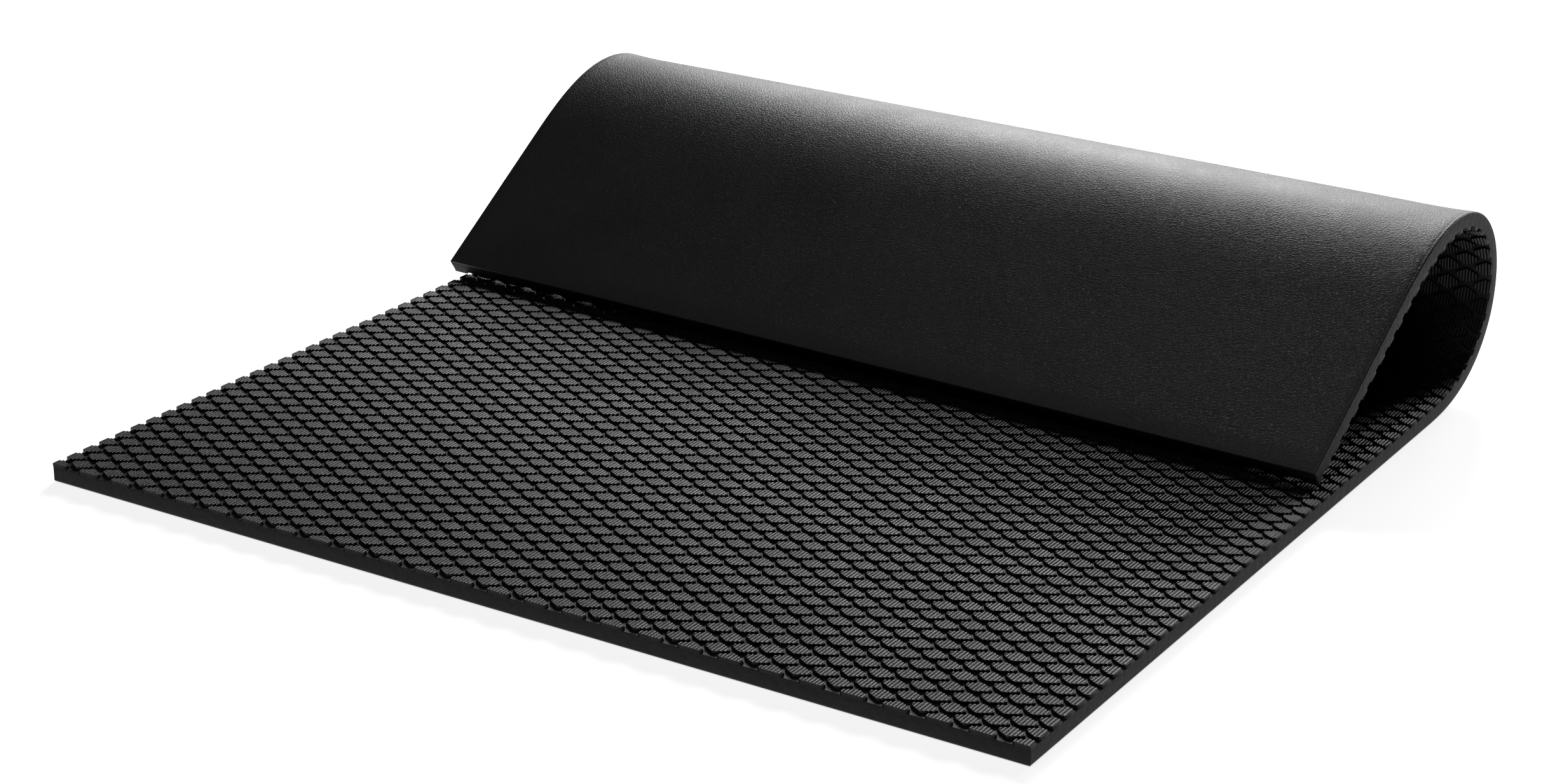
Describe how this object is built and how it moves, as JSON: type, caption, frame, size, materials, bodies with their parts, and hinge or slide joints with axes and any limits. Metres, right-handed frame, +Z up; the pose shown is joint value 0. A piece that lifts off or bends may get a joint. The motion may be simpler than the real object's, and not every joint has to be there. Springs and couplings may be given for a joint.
{
  "type": "rubber stall mat",
  "caption": "Black rubber stall mat with lens-shaped ribbed studs on one side and a fine-grained smooth side, lying studs up with its far end folded back over itself.",
  "frame": {"origin": "Middle of the bounding box, on the floor the mat lies on.", "axes": "+Z is up, out of the studded face of the flat part. +X runs along the near edge of the mat, which faces -Y. The fold is towards +Y."},
  "size_m": [1.2368, 1.2194, 0.2396],
  "materials": {
    "rubber": "matt"
  },
  "bodies": {
    "root": {"stall_mat": "rubber"}
  },
  "joints": []
}
